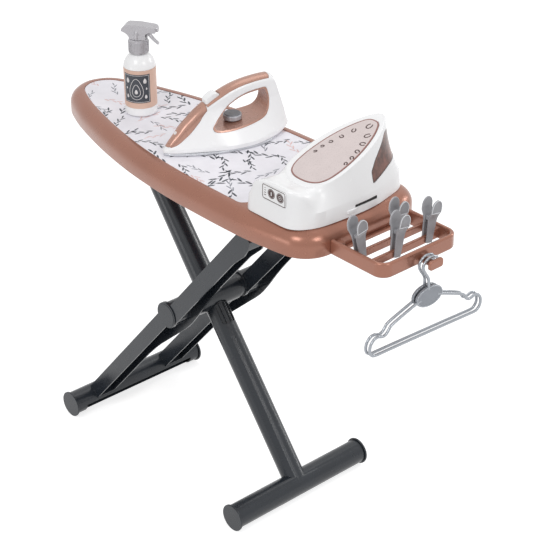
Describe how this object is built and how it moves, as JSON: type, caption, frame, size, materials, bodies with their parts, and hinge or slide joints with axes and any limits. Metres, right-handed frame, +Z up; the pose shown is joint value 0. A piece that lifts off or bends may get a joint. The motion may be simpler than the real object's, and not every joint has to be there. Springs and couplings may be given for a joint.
{
  "type": "toy ironing board",
  "caption": "Pretend-play ironing board on folding crossed legs, with a steam station, toy iron, spray bottle, peg rack with pegs and two hangers.",
  "frame": {"origin": "on the floor under the middle of the bounding box", "axes": "+X along the board from its narrow nose to the peg rack, +Y across the board to the side away from the control panel, +Z up"},
  "size_m": [0.762, 0.262, 0.6815],
  "materials": {
    "rose_gold_shell": "pearl rose gold moulding",
    "anthracite_legs": "satin anthracite",
    "white_plastic": "glossy white moulding",
    "printed_sheet": "white sheet with small printed sprigs",
    "blush_sticker": "pearl blush label",
    "smoke_window": "smoked brown",
    "silver_plastic": "satin silver grey",
    "slate_plastic": "satin slate grey",
    "grey_plastic": "warm grey",
    "wrap_label": "blush wrap label",
    "steel": "zinc plated",
    "rose_gold_trim": "pearl rose gold moulding"
  },
  "bodies": {
    "board": {"board_shell": "rose_gold_shell", "printed_ironing_surface": "printed_sheet", "peg_rack": "rose_gold_shell", "rack_screw_near": "steel", "rack_screw_far": "steel", "inner_leg_bracket": "anthracite_legs", "inner_leg_hinge_pin": "steel", "leg_catch_near": "anthracite_legs", "leg_catch_far": "anthracite_legs", "station_housing": "white_plastic", "station_base_plate": "white_plastic", "station_rest_plate": "blush_sticker", "station_control_panel": "white_plastic", "station_tank_window": "smoke_window"},
    "inner_leg": {"inner_leg_upper": "anthracite_legs", "inner_leg_lower": "anthracite_legs", "inner_foot_cap_near": "anthracite_legs", "inner_foot_cap_far": "anthracite_legs"},
    "outer_leg": {"outer_leg_lower_frame": "anthracite_legs", "outer_leg_upper_rail_near": "anthracite_legs", "outer_leg_upper_rail_far": "anthracite_legs", "outer_leg_top_bar": "steel", "outer_foot_cap_near": "anthracite_legs", "outer_foot_cap_far": "anthracite_legs", "leg_pivot_axle": "steel"},
    "iron": {"iron_body_near": "white_plastic", "iron_body_far": "white_plastic", "iron_soleplate": "silver_plastic", "iron_handle_liner": "rose_gold_trim", "iron_handle_cover": "rose_gold_trim", "iron_front_cover": "rose_gold_trim", "iron_spray_nozzle": "white_plastic"},
    "temperature_dial": {"iron_dial": "slate_plastic"},
    "steam_button": {"iron_steam_button": "white_plastic"},
    "bottle": {"bottle_body": "white_plastic", "bottle_label_wrap": "wrap_label", "bottle_collar": "grey_plastic", "bottle_spray_head": "grey_plastic"},
    "trigger": {"bottle_trigger": "grey_plastic"},
    "peg_1": {"clothes_peg_1": "slate_plastic"},
    "peg_2": {"clothes_peg_2": "slate_plastic"},
    "peg_3": {"clothes_peg_3": "slate_plastic"},
    "peg_4": {"clothes_peg_4": "slate_plastic"},
    "front_hanger": {"hanger_front": "silver_plastic"},
    "back_hanger": {"hanger_back": "silver_plastic"}
  },
  "joints": [
    {"name": "inner_leg_fold", "type": "hinge", "parent": "board", "child": "inner_leg", "pos_m": [-0.25959, 0, 0.48428], "axis": [0, -1, 0], "range_deg": [0, 44]},
    {"name": "outer_leg_fold", "type": "hinge", "parent": "inner_leg", "child": "outer_leg", "pos_m": [-0.077, 0, 0.272], "axis": [0, 1, 0], "range_deg": [0, 88]},
    {"name": "iron_lift", "type": "slide", "parent": "board", "child": "iron", "axis": [0, 0, 1], "range_m": [0, 0.15]},
    {"name": "dial_turn", "type": "hinge", "parent": "iron", "child": "temperature_dial", "pos_m": [-0.04865, 0.02433, 0.5733], "axis": [0, 0, 1], "range_deg": [-135, 135]},
    {"name": "steam_button_press", "type": "slide", "parent": "iron", "child": "steam_button", "axis": [0, 0, -1], "range_m": [0, 0.0025], "stiffness_N_per_m": 500, "springref_m": -0.001},
    {"name": "bottle_lift", "type": "slide", "parent": "board", "child": "bottle", "axis": [0, 0, 1], "range_m": [0, 0.15]},
    {"name": "trigger_pull", "type": "hinge", "parent": "bottle", "child": "trigger", "pos_m": [-0.20389, -0.00432, 0.6687], "axis": [-0.5736, 0.8192, 0], "range_deg": [0, 15], "stiffness_Nm_per_rad": 0.12, "springref_deg": -8.59},
    {"name": "peg_1_lift", "type": "slide", "parent": "board", "child": "peg_1", "axis": [0, 0, 1], "range_m": [0, 0.06]},
    {"name": "peg_2_lift", "type": "slide", "parent": "board", "child": "peg_2", "axis": [0, 0, 1], "range_m": [0, 0.06]},
    {"name": "peg_3_lift", "type": "slide", "parent": "board", "child": "peg_3", "axis": [0, 0, 1], "range_m": [0, 0.06]},
    {"name": "peg_4_lift", "type": "slide", "parent": "board", "child": "peg_4", "axis": [0, 0, 1], "range_m": [0, 0.06]},
    {"name": "front_hanger_swing", "type": "hinge", "parent": "board", "child": "front_hanger", "pos_m": [0.369, 0.007, 0.5115], "axis": [1, 0, 0], "range_deg": [-20, 20]},
    {"name": "back_hanger_swing", "type": "hinge", "parent": "board", "child": "back_hanger", "pos_m": [0.3616, 0.007, 0.5115], "axis": [1, 0, 0], "range_deg": [-20, 20]}
  ],
  "couplings": [
    {"joint": "outer_leg_fold", "follows": "inner_leg_fold", "ratio": 2}
  ]
}
